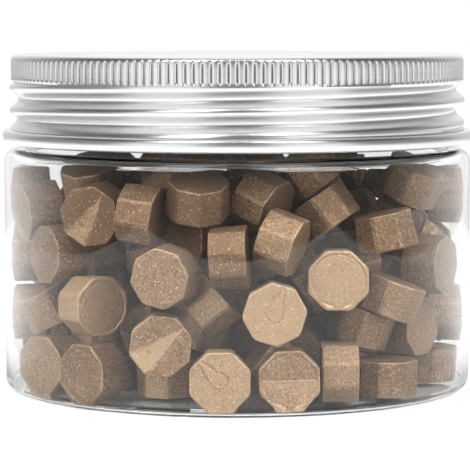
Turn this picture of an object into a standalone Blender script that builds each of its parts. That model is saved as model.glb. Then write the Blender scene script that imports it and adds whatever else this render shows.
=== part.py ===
"""Screw-top jar of sealing-wax beads.

A clear round jar holds a heap of eight-sided wax beads under a rolled metal screw lid with a soft liner.
The jar stands on the XY plane with its axis on Z and its front towards -Y. Lengths are in metres.
"""

import math

import bmesh
import bpy
import numpy as np
from mathutils import Matrix, Vector

MM = 0.001

# Jar
JAR_RADIUS = 36.0 * MM
JAR_WALL = 0.8 * MM
JAR_FLOOR = 0.6 * MM
JAR_HEEL = 1.7 * MM
INNER_HEEL = 0.6 * MM
PUSH_UP = 0.2 * MM
PUSH_UP_RADIUS = 26.0 * MM
PUSH_UP_SLOPE = 1.5 * MM
SHOULDER_HEIGHT = 36.85 * MM
SHOULDER_ROUND = 1.95 * MM
NECK_INSET = 3.3 * MM
NECK_HEIGHT = 12.75 * MM
NECK_WALL = 0.9 * MM
NECK_EDGE = 0.3 * MM

# Thread shared by the neck and the lid, right-handed, with its middle crest at +X
THREAD_LEAD = 3.5 * MM
THREAD_DEPTH = 1.4 * MM
THREAD_ABOVE_SHOULDER = 7.55 * MM
THREAD_CLEARANCE = 0.5 * MM
RIDGE_WIDTH = 2.4 * MM
RIDGE_CLEARANCE = 0.4 * MM
RIDGE_FIRST_TURN = -1.05
RIDGE_LAST_TURN = 0.45
RIDGE_FADE_TURNS = 0.08

# Lid
LID_SHEET = 0.5 * MM
LID_ABOVE_SHOULDER = 0.85 * MM
LID_EDGE_ROUND = 1.05 * MM
BAND_RELIEF = 0.2 * MM
BAND_HEIGHT = 2.85 * MM
BAND_STEP = 0.7 * MM
FLARE_HEIGHT = 1.65 * MM
FLARE_WIDTH = 1.5 * MM
CURL_HEIGHT = 2.1 * MM
CURL_WIDTH = 1.55 * MM
CURL_CLEARANCE = 0.45 * MM

# Liner
LINER_THICKNESS = 0.6 * MM
LINER_GAP = 0.3 * MM
LINER_SIDE_GAP = 0.45 * MM

# Wax beads
BEAD_ACROSS = 8.8 * MM
BEAD_LENGTH = 5.4 * MM
BEAD_GAP = 0.06 * MM
BEAD_BITE = 0.06 * MM
HEAP_BELOW_ROUND = 0.65 * MM
HEAP_MOUND = 5.5 * MM
MOUND_SLOPE = 1.1
BEAD_NODES = 57
BEADS_PER_NODE = 8
SEED = 14
FIRST_TRIES = 20
TRIES = 90
TRIES_KEPT = 5
GROWTH_TRIES = 4
TRY_SPREADS = (0.3, 0.2, 0.12, 0.06)
FACING_SHARE = 0.35
FLAT_SHARE = 0.2
FACING_WOBBLE = 0.1
STICK_REACH = 0.6 * MM
MISSES_WHEN_FULL = 20
LATE_BEADS = 12
NEAR_UPRIGHT = 0.9
TINY = 1e-7

# Sizes that follow from those above
NECK_RADIUS = JAR_RADIUS - NECK_INSET
NECK_TOP = SHOULDER_HEIGHT + NECK_HEIGHT
MOUTH_RADIUS = NECK_RADIUS - NECK_WALL
INNER_RADIUS = JAR_RADIUS - JAR_WALL
THREAD_MIDDLE = SHOULDER_HEIGHT + THREAD_ABOVE_SHOULDER
RIDGE_HEIGHT = THREAD_DEPTH + THREAD_CLEARANCE - RIDGE_CLEARANCE
LINER_BASE = NECK_TOP + LINER_GAP
LID_UNDERSIDE = LINER_BASE + LINER_THICKNESS + LINER_GAP
LID_TOP = LID_UNDERSIDE + LID_SHEET
LID_BASE = SHOULDER_HEIGHT + LID_ABOVE_SHOULDER
GROOVE_RADIUS = NECK_RADIUS + THREAD_CLEARANCE + LID_SHEET
BAND_RADIUS = GROOVE_RADIUS + THREAD_DEPTH - BAND_RELIEF
BAND_TOP = LID_TOP - LID_EDGE_ROUND
BAND_BASE = BAND_TOP - BAND_HEIGHT
CURL_INNER_RADIUS = NECK_RADIUS + RIDGE_HEIGHT + CURL_CLEARANCE
CURL_TOP = LID_BASE + CURL_HEIGHT
FLARE_TOP = CURL_TOP + FLARE_HEIGHT
HEAP_BASE = JAR_FLOOR + BEAD_GAP
HEAP_TOP = SHOULDER_HEIGHT - SHOULDER_ROUND - HEAP_BELOW_ROUND

# Facets
TURN_STEPS = 48
ARC_STEPS = 4
THREAD_ROWS_PER_LEAD = 8
SHARP_DEGREES = 35

# Beads that lie against the front of the glass: place across as a share of the inner radius, height of the
# centre as a share of the heap, and how the bead's axis turns to the right, lifts and rolls, in degrees.
FRONT_BEADS = (
    (-0.07, 0.13, 0, 0, 0),
    (0.15, 0.43, 0, 0, -17),
    (-0.03, 0.66, 84, 4, 8),
    (0.18, 0.72, 72, -18, 0),
    (-0.31, 0.29, 0, 0, -7),
    (0.41, 0.56, 0, 0, 0),
    (0.21, 0.13, 0, 0, 2),
    (0.42, 0.16, 90, 0, 0),
    (-0.60, 0.43, 38, 0, 0),
    (-0.59, 0.15, -42, 0, 0),
    (-0.12, 0.44, 90, 40, 0),
    (0.52, 0.33, 90, 72, 22),
    (0.73, 0.31, 54, 0, 0),
    (-0.18, 0.72, -45, 0, 0),
    (-0.33, 0.62, -90, 70, 10),
    (-0.74, 0.64, -57, 0, 0),
    (0.61, 0.75, -90, 78, 0),
    (-0.58, 0.83, -20, -8, 10),
    (0.63, 0.54, 90, 60, 22),
    (-0.29, 0.09, 0, 90, 22),
    (0.62, 0.07, 0, 90, 8),
    (0.83, 0.04, 0, 90, 30),
    (-0.905, 0.87, -90, 0, 0),
    (-0.905, 0.60, -90, 0, 8),
    (0.905, 0.87, 90, 0, 6),
    (-0.905, 0.335, -90, 0, 4),
    (0.905, 0.335, 90, 0, 0),
)


def remove_objects():
    """Empty the scene."""
    for thing in list(bpy.data.objects):
        bpy.data.objects.remove(thing, do_unlink=True)


def finish(name, colour, roughness, metallic=0.0, alpha=1.0):
    """Make a plain material for one kind of piece."""
    material = bpy.data.materials.new(name)
    material.use_nodes = True
    shader = material.node_tree.nodes["Principled BSDF"]
    shader.inputs["Base Color"].default_value = (*colour, 1.0)
    shader.inputs["Roughness"].default_value = roughness
    shader.inputs["Metallic"].default_value = metallic
    shader.inputs["Alpha"].default_value = alpha
    return material


def add_object(name, mesh, material, location=(0, 0, 0)):
    """Put a mesh in the scene as a named piece."""
    mesh.materials.clear()
    mesh.materials.append(material)
    piece = bpy.data.objects.new(name, mesh)
    piece.location = location
    bpy.context.scene.collection.objects.link(piece)
    return piece


def arc(centre, radii, start, end, steps=ARC_STEPS):
    """Points of an elliptical arc in the (radius, height) plane, angles in degrees."""
    angles = np.radians(np.linspace(start, end, steps + 1))
    return [(centre[0] + radii[0] * math.cos(a), centre[1] + radii[1] * math.sin(a)) for a in angles]


def ring(radius, height):
    """One turn of points. radius is a number, or a function of the turn from 0 to 1."""
    points = []
    for step in range(TURN_STEPS):
        turn = step / TURN_STEPS
        reach = radius(turn) if callable(radius) else radius
        angle = 2 * math.pi * turn
        points.append((reach * math.cos(angle), reach * math.sin(angle), height))
    return points


def turned_mesh(name, rows):
    """Close a surface of revolution whose first and last rows lie on the axis."""
    shape = bmesh.new()
    first = shape.verts.new((0, 0, rows[0][1]))
    last = shape.verts.new((0, 0, rows[-1][1]))
    rings = [[shape.verts.new(point) for point in ring(*row)] for row in rows[1:-1]]
    for step in range(TURN_STEPS):
        after = (step + 1) % TURN_STEPS
        shape.faces.new((first, rings[0][step], rings[0][after]))
        shape.faces.new((last, rings[-1][after], rings[-1][step]))
        for upper, lower in zip(rings, rings[1:]):
            shape.faces.new((upper[step], lower[step], lower[after], upper[after]))
    bmesh.ops.triangulate(shape, faces=shape.faces)
    bmesh.ops.recalc_face_normals(shape, faces=shape.faces)
    mesh = bpy.data.meshes.new(name)
    shape.to_mesh(mesh)
    shape.free()
    mesh.shade_smooth()
    mesh.set_sharp_from_angle(angle=math.radians(SHARP_DEGREES))
    return mesh


def heights(low, high):
    """Heights from high down to low, close enough to follow the thread."""
    steps = max(2, round((high - low) / THREAD_LEAD * THREAD_ROWS_PER_LEAD))
    return np.linspace(high, low, steps + 1)


def ridge_radius(turn, height):
    """Outer radius of the neck, with the thread ridge where it passes."""
    rise = 0.0
    for lap in range(math.floor(RIDGE_FIRST_TURN) - 1, math.ceil(RIDGE_LAST_TURN) + 1):
        place = turn + lap
        fade = min(place - RIDGE_FIRST_TURN, RIDGE_LAST_TURN - place) / RIDGE_FADE_TURNS
        offset = (height - THREAD_MIDDLE - THREAD_LEAD * place) / RIDGE_WIDTH
        if fade > 0 and abs(offset) < 0.5:
            rise = max(rise, min(fade, 1.0) * math.cos(math.pi * offset) ** 2)
    return NECK_RADIUS + RIDGE_HEIGHT * rise


def skirt_radius(turn, height):
    """Outer radius of the lid between its band and its curl."""
    wave = math.cos(2 * math.pi * ((height - THREAD_MIDDLE) / THREAD_LEAD - turn))
    thread = GROOVE_RADIUS + THREAD_DEPTH * (1 + wave) / 2
    step = BAND_RADIUS - (BAND_RADIUS - GROOVE_RADIUS) * (BAND_BASE - height) / BAND_STEP
    flare = GROOVE_RADIUS + FLARE_WIDTH * (FLARE_TOP - height) / FLARE_HEIGHT
    return max(thread, step, flare)


def jar_mesh():
    """Jar with a push-up base, a rounded heel and shoulder, and a threaded neck."""
    wall_top = SHOULDER_HEIGHT - SHOULDER_ROUND
    inner_round = SHOULDER_ROUND - JAR_WALL
    heel_centre = (JAR_RADIUS - JAR_HEEL, JAR_HEEL)
    rows = [(0, PUSH_UP), (PUSH_UP_RADIUS, PUSH_UP), (PUSH_UP_RADIUS + PUSH_UP_SLOPE, 0)]
    rows += arc(heel_centre, (JAR_HEEL, JAR_HEEL), -90, 0)
    rows += arc((JAR_RADIUS - SHOULDER_ROUND, wall_top), (SHOULDER_ROUND, SHOULDER_ROUND), 0, 90)
    for height in reversed(heights(SHOULDER_HEIGHT, NECK_TOP - NECK_EDGE)):
        rows.append((lambda turn, z=height: ridge_radius(turn, z), height))
    rows += [(NECK_RADIUS - NECK_EDGE, NECK_TOP), (MOUTH_RADIUS + NECK_EDGE, NECK_TOP)]
    rows += [(MOUTH_RADIUS, NECK_TOP - NECK_EDGE), (MOUTH_RADIUS, SHOULDER_HEIGHT - JAR_WALL)]
    rows += arc((JAR_RADIUS - SHOULDER_ROUND, wall_top), (inner_round, inner_round), 90, 0)
    rows += arc((INNER_RADIUS - INNER_HEEL, JAR_FLOOR + INNER_HEEL), (INNER_HEEL, INNER_HEEL), 0, -90)
    rows.append((0, JAR_FLOOR))
    return turned_mesh("jar", rows)


def lid_mesh():
    """Lid rolled from sheet: flat top, grip band, threaded skirt and a curled lower edge."""
    edge_radius = BAND_RADIUS - LID_EDGE_ROUND
    inner_round = LID_EDGE_ROUND - LID_SHEET
    curl_middle = CURL_INNER_RADIUS + CURL_WIDTH / 2
    curl_radii = (CURL_WIDTH / 2, CURL_HEIGHT / 2)
    skirt = heights(CURL_TOP, BAND_BASE)
    rows = [(0, LID_TOP)]
    rows += arc((edge_radius, BAND_TOP), (LID_EDGE_ROUND, LID_EDGE_ROUND), 90, 0)
    for height in skirt:
        rows.append((lambda turn, z=height: skirt_radius(turn, z), height))
    rows += arc((curl_middle, LID_BASE + CURL_HEIGHT / 2), curl_radii, 60, -180, 2 * ARC_STEPS)
    for height in reversed(skirt):
        rows.append((lambda turn, z=height: skirt_radius(turn, z) - LID_SHEET, height))
    rows += arc((edge_radius, BAND_TOP), (inner_round, inner_round), 0, 90)
    rows.append((0, LID_UNDERSIDE))
    return turned_mesh("lid", rows)


def liner_mesh():
    """Soft disc that the lid presses on the rim."""
    radius = BAND_RADIUS - LID_SHEET - LINER_SIDE_GAP
    top = LINER_BASE + LINER_THICKNESS
    return turned_mesh("liner", [(0, LINER_BASE), (radius, LINER_BASE), (radius, top), (0, top)])


# Half of a bead's corners, seen along its axis, and the directions of its faces, which its edges share
CORNERS = np.array([[math.cos(a), math.sin(a)] for a in (np.arange(4) + 0.5) * math.pi / 4])
CORNERS *= BEAD_ACROSS / 2 / math.cos(math.pi / 8)
FACES = np.array([[math.cos(a), math.sin(a), 0.0] for a in np.arange(4) * math.pi / 4] + [[0.0, 0.0, 1.0]])
BEAD_POINTS = np.array([
    (side * x, side * y, end * BEAD_LENGTH / 2) for x, y in CORNERS for side in (-1, 1) for end in (-1, 1)
])

BEAD_DIAGONAL = 2 * np.linalg.norm(BEAD_POINTS[0])


def turned_frames(axes, rolls):
    """Rotations, one per bead, that point its axis along axes and then roll it about that axis."""
    axes = axes / np.linalg.norm(axes, axis=-1, keepdims=True)
    level = np.where(np.abs(axes[:, 2:]) > NEAR_UPRIGHT, [[1.0, 0.0, 0.0]], [[0.0, 0.0, 1.0]])
    across = np.cross(level, axes)
    across /= np.linalg.norm(across, axis=-1, keepdims=True)
    beside = np.cross(axes, across)
    cos = np.cos(rolls)[:, None]
    sin = np.sin(rolls)[:, None]
    return np.stack([across * cos + beside * sin, beside * cos - across * sin, axes], axis=-1)


def half_extents(directions, frames):
    """How far beads with these frames reach from their centres along each direction."""
    local = directions @ frames
    return np.abs(local[..., :2] @ CORNERS.T).max(-1) + BEAD_LENGTH / 2 * np.abs(local[..., 2])


def parting_directions(frames_a, frames_b):
    """Directions that can part two beads: the faces of each, and the normals of an edge of both."""
    faces_a = FACES @ frames_a.transpose(0, 2, 1)
    faces_b = FACES @ frames_b.transpose(0, 2, 1)
    crossed = np.cross(faces_a[:, :, None], faces_b[:, None]).reshape(len(frames_a), len(FACES) ** 2, 3)
    lengths = np.linalg.norm(crossed, axis=-1, keepdims=True)
    crossed = np.where(lengths > TINY, crossed / np.maximum(lengths, TINY), faces_a[:, :1])
    return np.concatenate([faces_a, faces_b, crossed], axis=1)


def blocked_spans(frames_a, frames_b, offsets, ways):
    """Travel of beads A along their ways, from start to end, that brings them too near beads B.

    offsets run from each B's centre to the starting centre of its A.
    """
    directions = parting_directions(frames_a, frames_b)
    reach = half_extents(directions, frames_a) + half_extents(directions, frames_b) + BEAD_GAP
    along = (directions @ ways[..., None])[..., 0]
    apart = (directions @ offsets[..., None])[..., 0]
    along = np.where(np.abs(along) < TINY, TINY, along)
    start = (-apart / along - reach / np.abs(along)).max(-1)
    end = (-apart / along + reach / np.abs(along)).min(-1)
    return np.where(start < end, start, np.inf), np.where(start < end, end, -np.inf)


def clearances(frames_a, frames_b, offsets):
    """How far beads A stand from beads B, less than zero where they overlap, and the way from B to A."""
    directions = parting_directions(frames_a, frames_b)
    reach = half_extents(directions, frames_a) + half_extents(directions, frames_b)
    apart = (directions @ offsets[..., None])[..., 0]
    best = (np.abs(apart) - reach).argmax(-1)
    rows = np.arange(len(offsets))
    ways = directions[rows, best] * np.sign(apart[rows, best])[:, None]
    return (np.abs(apart) - reach)[rows, best], ways


class Heap:
    """Beads packed in the jar, each clear of the others but for the mate in its node that it sticks to."""

    def __init__(self):
        self.centres = np.zeros((0, 3))
        self.frames = np.zeros((0, 3, 3))
        self.nodes = []
        self.first_loose = 0

    def add(self, centre, frame, node):
        """Place one bead in a node."""
        self.centres = np.vstack([self.centres, centre])
        self.frames = np.concatenate([self.frames, frame[None]])
        self.nodes.append(node)

    def next_node(self):
        """Number of the next new node."""
        return max(self.nodes, default=-1) + 1

    def keep(self, count):
        """Take out all but the first beads."""
        self.centres = self.centres[:count]
        self.frames = self.frames[:count]
        self.nodes = self.nodes[:count]

    def level(self):
        """Height of the lowest of the beads placed lately, which rises as the jar fills."""
        lately = self.centres[len(FRONT_BEADS):][-LATE_BEADS:, 2]
        return lately.min() if len(lately) == LATE_BEADS else 0.0

    def clearances(self, centre, frame):
        """Clearance of one bead to each bead placed so far, endless where it is far off."""
        offsets = centre - self.centres
        near = np.linalg.norm(offsets, axis=-1) < BEAD_DIAGONAL
        gaps = np.full(len(offsets), np.inf)
        frames = np.repeat(frame[None], near.sum(), axis=0)
        gaps[near] = clearances(frames, self.frames[near], offsets[near])[0]
        return gaps


def bead_points(frames):
    """Corners of beads about their centres."""
    return BEAD_POINTS @ frames.transpose(0, 2, 1)


def heap_tops(radii):
    """Heights that the heap may reach at distances from the axis: higher under the mouth."""
    return HEAP_TOP + np.clip(MOUND_SLOPE * (MOUTH_RADIUS - radii), 0.0, HEAP_MOUND)


def fits_glass(centre, frame):
    """Whether a bead lies inside the jar and under the top of the heap."""
    points = bead_points(frame[None])[0] + centre
    radii = np.hypot(points[:, 0], points[:, 1])
    inside = radii.max() <= INNER_RADIUS - BEAD_GAP + TINY
    above_floor = centre[2] >= floor_heights(frame[None], centre[None])[0] - TINY
    return inside and above_floor and np.all(points[:, 2] <= heap_tops(radii))


def wall_reach(frames, azimuths):
    """Greatest distances from the axis at which beads stay inside the glass, and the outward directions."""
    outward = np.stack([np.sin(azimuths), -np.cos(azimuths), np.zeros_like(azimuths)], axis=-1)
    points = bead_points(frames)
    beside = (points @ outward[..., None])[..., 0]
    square = (INNER_RADIUS - BEAD_GAP) ** 2 - (points[..., :2] ** 2).sum(-1) + beside ** 2
    return (np.sqrt(square) - beside).min(-1), outward


def floor_heights(frames, centres):
    """Lowest heights of beads' centres over the floor and the rounded heel."""
    points = bead_points(frames)
    radii = np.hypot(points[..., 0] + centres[:, :1], points[..., 1] + centres[:, 1:2])
    inward = np.clip(radii - (INNER_RADIUS - BEAD_GAP - INNER_HEEL), 0.0, INNER_HEEL)
    floor = HEAP_BASE + INNER_HEEL - np.sqrt(INNER_HEEL ** 2 - inward ** 2)
    return (floor - points[..., 2]).max(-1)


def free_place(starts, ends, travel):
    """First travel that no span blocks."""
    for index in np.argsort(starts):
        if starts[index] < travel < ends[index]:
            travel = ends[index]
    return travel


def front_bead(across, share, turn, lift, roll):
    """Frame of a listed bead, and its centre where it first meets the front of the glass."""
    turn, lift, roll = np.radians((turn, lift, roll))
    axis = (math.sin(turn) * math.cos(lift), -math.cos(turn) * math.cos(lift), math.sin(lift))
    frame = turned_frames(np.array([axis]), np.array([roll]))
    points = bead_points(frame)[0]
    side = across * INNER_RADIUS
    depth = np.sqrt((INNER_RADIUS - BEAD_GAP) ** 2 - (points[:, 0] + side) ** 2)
    centre = np.array([[side, (-depth - points[:, 1]).max(), 0.0]])
    centre[0, 2] = max(share * HEAP_TOP, floor_heights(frame, centre)[0])
    return centre[0], frame[0]


def lay_front_beads(heap):
    """Seat the listed beads, each as near the front of the glass as those before it allow."""
    back = np.array([0.0, 1.0, 0.0])
    for row in FRONT_BEADS:
        centre, frame = front_bead(*row)
        count = len(heap.nodes)
        frames = np.repeat(frame[None], count, axis=0)
        spans = blocked_spans(frames, heap.frames, centre - heap.centres, np.tile(back, (count, 1)))
        heap.add(centre + back * free_place(*spans, 0.0), frame, heap.next_node())


def first_tries(draw):
    """Random beads of one kind, as spots on the floor plan, axes and rolls: facing out, flat or tumbled."""
    azimuths = draw.uniform(-math.pi, math.pi, FIRST_TRIES)
    outward = np.stack([np.sin(azimuths), -np.cos(azimuths), np.zeros(FIRST_TRIES)], axis=-1)
    axes = draw.normal(0, 1, (FIRST_TRIES, 3))
    near = np.sqrt(draw.uniform(0, 1, FIRST_TRIES))
    kind = draw.uniform()
    if kind < FACING_SHARE:
        axes = outward + FACING_WOBBLE * axes
        near[:] = 1.0
    elif kind < FACING_SHARE + FLAT_SHARE:
        axes = np.array([0.0, 0.0, 1.0]) + FACING_WOBBLE * axes
    axes /= np.linalg.norm(axes, axis=-1, keepdims=True)
    return outward * (INNER_RADIUS * near)[:, None], axes, draw.uniform(0, math.pi / 4, FIRST_TRIES)


def mate_tries(heap, draw):
    """Random tumbled beads beside those of the newest node, as spots, axes and rolls."""
    members = heap.centres[np.array(heap.nodes) == heap.nodes[-1]]
    spots = draw.choice(members, TRIES) * [1.0, 1.0, 0.0]
    spots[:, :2] += draw.normal(0, BEAD_ACROSS / 2, (TRIES, 2))
    axes = draw.normal(0, 1, (TRIES, 3))
    axes /= np.linalg.norm(axes, axis=-1, keepdims=True)
    return spots, axes, draw.uniform(0, math.pi / 4, TRIES)


def nearby_tries(draw, spots, axes, rolls, spread):
    """Beads like the given ones, each shifted, tilted and rolled a little in several ways."""
    spots = np.repeat(spots, TRIES // len(spots), axis=0)
    axes = np.repeat(axes, len(spots) // len(axes), axis=0)
    rolls = np.repeat(rolls, len(spots) // len(rolls))
    noise = draw.normal(0, spread, (len(spots), 7))
    spots = spots + BEAD_LENGTH * noise[:, :3] * [1.0, 1.0, 0.0]
    axes = axes + noise[:, 3:6]
    axes /= np.linalg.norm(axes, axis=-1, keepdims=True)
    return spots, axes, rolls + noise[:, 6]


def land(heap, spots, axes, rolls):
    """Centres and frames of beads let down on their spots, to the lowest free height within the glass."""
    frames = turned_frames(axes, rolls)
    reach, outward = wall_reach(frames, np.arctan2(spots[:, 0], -spots[:, 1]))
    centres = outward * np.minimum(reach, np.linalg.norm(spots, axis=-1))[:, None]
    lowest = np.maximum(floor_heights(frames, centres), heap.level() - BEAD_ACROSS)
    gaps = np.linalg.norm(centres[:, None, :2] - heap.centres[None, :, :2], axis=-1)
    above = heap.centres[None, :, 2] > lowest[:, None] - BEAD_DIAGONAL
    movers, others = np.nonzero((gaps < BEAD_DIAGONAL) & above)
    ways = np.tile([0.0, 0.0, 1.0], (len(movers), 1))
    offsets = centres[movers] - heap.centres[others]
    starts, ends = blocked_spans(frames[movers], heap.frames[others], offsets, ways)
    for bead in range(len(centres)):
        mine = movers == bead
        centres[bead, 2] = free_place(starts[mine], ends[mine], lowest[bead])
    return centres, frames


def stuck_places(heap, centres, frames):
    """Beads moved so that each bites into a mate in the newest node: (centre, frame, mate), lowest first."""
    places = []
    for mate in np.nonzero(np.array(heap.nodes) == heap.nodes[-1])[0]:
        mate_frames = np.repeat(heap.frames[mate][None], len(frames), axis=0)
        gaps, ways = clearances(frames, mate_frames, centres - heap.centres[mate])
        moved = centres - ways * (gaps + BEAD_BITE)[:, None]
        places += [(moved[bead], frames[bead], mate) for bead in np.nonzero(gaps < STICK_REACH)[0]]
    return sorted(places, key=lambda place: place[0][2])


def low_places(heap, draw, tries):
    """Centres and frames of beads like the tries that lie low, the lowest first."""
    places = land(heap, *tries)
    for spread in TRY_SPREADS:
        best = np.argsort(places[0][:, 2])[:TRIES_KEPT]
        kept = [values[best] for values in tries]
        found = [values[best] for values in places]
        fresh = nearby_tries(draw, *kept, spread)
        tries = [np.concatenate(pair) for pair in zip(kept, fresh)]
        places = [np.concatenate(pair) for pair in zip(found, land(heap, *fresh))]
    order = np.argsort(places[0][:, 2])
    return [values[order] for values in places]


def start_node(heap, draw):
    """Add the first bead of a new node at the lowest place found, or return False when none fits."""
    for centre, frame in zip(*low_places(heap, draw, first_tries(draw))):
        if fits_glass(centre, frame):
            heap.add(centre, frame, heap.next_node())
            return True
    return False


def grow_node(heap, draw):
    """Add a bead that sticks to the newest node as low as can be found, or return False."""
    for _ in range(GROWTH_TRIES):
        for centre, frame, mate in stuck_places(heap, *low_places(heap, draw, mate_tries(heap, draw))):
            gaps = heap.clearances(centre, frame)
            sticks = gaps[mate] < -BEAD_BITE / 2 and np.delete(gaps, mate).min() > BEAD_GAP - TINY
            if sticks and fits_glass(centre, frame):
                heap.add(centre, frame, heap.nodes[-1])
                return True
    return False


def fill(heap, draw, beads):
    """Add nodes of so many beads each until no more of them fit."""
    misses = 0
    while misses < MISSES_WHEN_FULL and heap.next_node() < BEAD_NODES:
        count = len(heap.nodes)
        whole = start_node(heap, draw) and all(grow_node(heap, draw) for _ in range(beads - 1))
        if not whole:
            heap.keep(count)
        misses = 0 if whole else misses + 1


def pack_heap():
    """Fill the jar from the floor up with nodes of beads that stick together, then with single ones."""
    heap = Heap()
    lay_front_beads(heap)
    draw = np.random.default_rng(SEED)
    fill(heap, draw, BEADS_PER_NODE)
    heap.first_loose = heap.next_node()
    fill(heap, draw, 1)
    return heap


def bead_mesh(name, centre, frame):
    """Mesh of one plain eight-sided bead about a centre."""
    shape = bmesh.new()
    radius = BEAD_ACROSS / 2 / math.cos(math.pi / 8)
    bmesh.ops.create_cone(shape, cap_ends=True, segments=8, radius1=radius, radius2=radius, depth=BEAD_LENGTH)
    bmesh.ops.rotate(shape, verts=shape.verts, matrix=Matrix.Rotation(math.pi / 8, 3, "Z"))
    place = Matrix(frame.tolist()).to_4x4()
    place.translation = Vector(centre)
    bmesh.ops.transform(shape, verts=shape.verts, matrix=place)
    mesh = bpy.data.meshes.new(name)
    shape.to_mesh(mesh)
    shape.free()
    return mesh


def stick(base, mates):
    """Join mates to the base bead, one Boolean union each, and remove them."""
    for mate in mates:
        union = base.modifiers.new(mate.name, "BOOLEAN")
        union.operation = "UNION"
        union.object = mate
    graph = bpy.context.evaluated_depsgraph_get()
    base.data = bpy.data.meshes.new_from_object(base.evaluated_get(graph))
    base.modifiers.clear()
    for mate in mates:
        bpy.data.objects.remove(mate, do_unlink=True)


def build_heap(material):
    """Put the packed beads in the scene, one object for each node of beads that stick together."""
    heap = pack_heap()
    nodes = np.array(heap.nodes)
    for node in range(heap.next_node()):
        members = np.nonzero(nodes == node)[0]
        origin = heap.centres[members[0]]
        number = node + 1 - heap.first_loose
        title = f"top_bead_{number:02d}" if number > 0 else f"wax_beads_{node + 1:02d}"
        beads = []
        for bead in members:
            name = title if bead == members[0] else f"mate_{bead}"
            mesh = bead_mesh(name, heap.centres[bead] - origin, heap.frames[bead])
            beads.append(add_object(name, mesh, material, origin))
        if len(beads) > 1:
            stick(beads[0], beads[1:])


def main():
    """Build the jar, its liner and lid, and the heap of beads."""
    remove_objects()
    clear_plastic = finish("clear_plastic", (0.93, 0.95, 0.96), 0.08, alpha=0.25)
    aluminium = finish("satin_aluminium", (0.80, 0.81, 0.82), 0.32, metallic=1.0)
    foam = finish("liner_foam", (0.90, 0.90, 0.88), 0.75)
    wax = finish("bronze_wax", (0.36, 0.23, 0.14), 0.42, metallic=0.25)
    add_object("jar", jar_mesh(), clear_plastic)
    add_object("liner", liner_mesh(), foam)
    add_object("lid", lid_mesh(), aluminium)
    build_heap(wax)


if __name__ == "__main__":
    main()
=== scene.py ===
"""Looks of a screw-top jar of sealing-wax beads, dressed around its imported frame.

The jar stands on the XY plane with its axis on Z and its front towards -Y. Lengths are in metres.
"""

import logging
import math
from collections.abc import Callable, Sequence
from dataclasses import dataclass
from enum import IntEnum

import bpy
import numpy as np
from mathutils import Matrix, Vector


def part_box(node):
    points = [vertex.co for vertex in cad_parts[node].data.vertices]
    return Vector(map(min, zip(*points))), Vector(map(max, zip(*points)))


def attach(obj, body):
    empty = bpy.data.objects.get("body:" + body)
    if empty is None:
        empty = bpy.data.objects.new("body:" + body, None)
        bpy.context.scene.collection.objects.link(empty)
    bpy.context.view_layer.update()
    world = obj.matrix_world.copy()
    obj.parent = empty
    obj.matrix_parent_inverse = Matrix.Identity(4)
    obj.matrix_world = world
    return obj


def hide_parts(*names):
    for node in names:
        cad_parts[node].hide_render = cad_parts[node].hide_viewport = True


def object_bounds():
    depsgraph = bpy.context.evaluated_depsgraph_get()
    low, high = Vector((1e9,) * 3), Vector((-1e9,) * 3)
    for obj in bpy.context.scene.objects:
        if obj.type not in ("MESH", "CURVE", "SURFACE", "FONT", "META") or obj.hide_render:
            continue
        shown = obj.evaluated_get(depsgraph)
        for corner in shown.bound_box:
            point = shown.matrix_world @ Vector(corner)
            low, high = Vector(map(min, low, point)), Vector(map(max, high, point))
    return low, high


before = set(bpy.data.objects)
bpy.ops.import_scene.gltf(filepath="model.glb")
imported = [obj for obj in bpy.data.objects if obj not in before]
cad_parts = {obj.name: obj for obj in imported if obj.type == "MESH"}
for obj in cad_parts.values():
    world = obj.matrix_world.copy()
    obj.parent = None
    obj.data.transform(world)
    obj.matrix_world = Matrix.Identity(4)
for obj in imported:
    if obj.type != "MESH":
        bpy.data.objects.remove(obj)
cad_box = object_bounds()

LOG = logging.getLogger("wax_bead_jar")
MM = 0.001
BEAD_NODES = ("wax_beads", "top_bead")
# Points in one ring of a bead
RING = 16
# Limits on how often a ray was turned, and on how many faces of the plastic it went through
ONE_BOUNCE = 0.5
ONE_WALL = 2.5
Pair = tuple[float, float]
Spot = tuple[float, float, float]
Colour = tuple[float, float, float, float]
Profile = list[Pair]
Reach = Callable[[np.ndarray, np.ndarray, np.ndarray], np.ndarray]
Vote = tuple[Vector, Vector, Vector]


class Wire:
    """An output socket that takes part in Python arithmetic by adding Math nodes."""

    def __init__(self, graph: "Graph", socket: bpy.types.NodeSocket) -> None:
        """Keep the graph and the socket."""
        self.graph = graph
        self.socket = socket

    def __add__(self, other: "Wire | float") -> "Wire":
        """Sum."""
        return self.graph.math("ADD", self, other)

    def __sub__(self, other: "Wire | float") -> "Wire":
        """Difference."""
        return self.graph.math("SUBTRACT", self, other)

    def __rsub__(self, other: float) -> "Wire":
        """Difference from a number."""
        return self.graph.math("SUBTRACT", other, self)

    def __mul__(self, other: "Wire | float") -> "Wire":
        """Product."""
        return self.graph.math("MULTIPLY", self, other)

    def __truediv__(self, other: "Wire | float") -> "Wire":
        """Quotient."""
        return self.graph.math("DIVIDE", self, other)

    def __pow__(self, other: "Wire | float") -> "Wire":
        """Power."""
        return self.graph.math("POWER", self, other)

    def __abs__(self) -> "Wire":
        """Size without sign."""
        return self.graph.math("ABSOLUTE", self)

    __radd__ = __add__
    __rmul__ = __mul__


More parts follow.
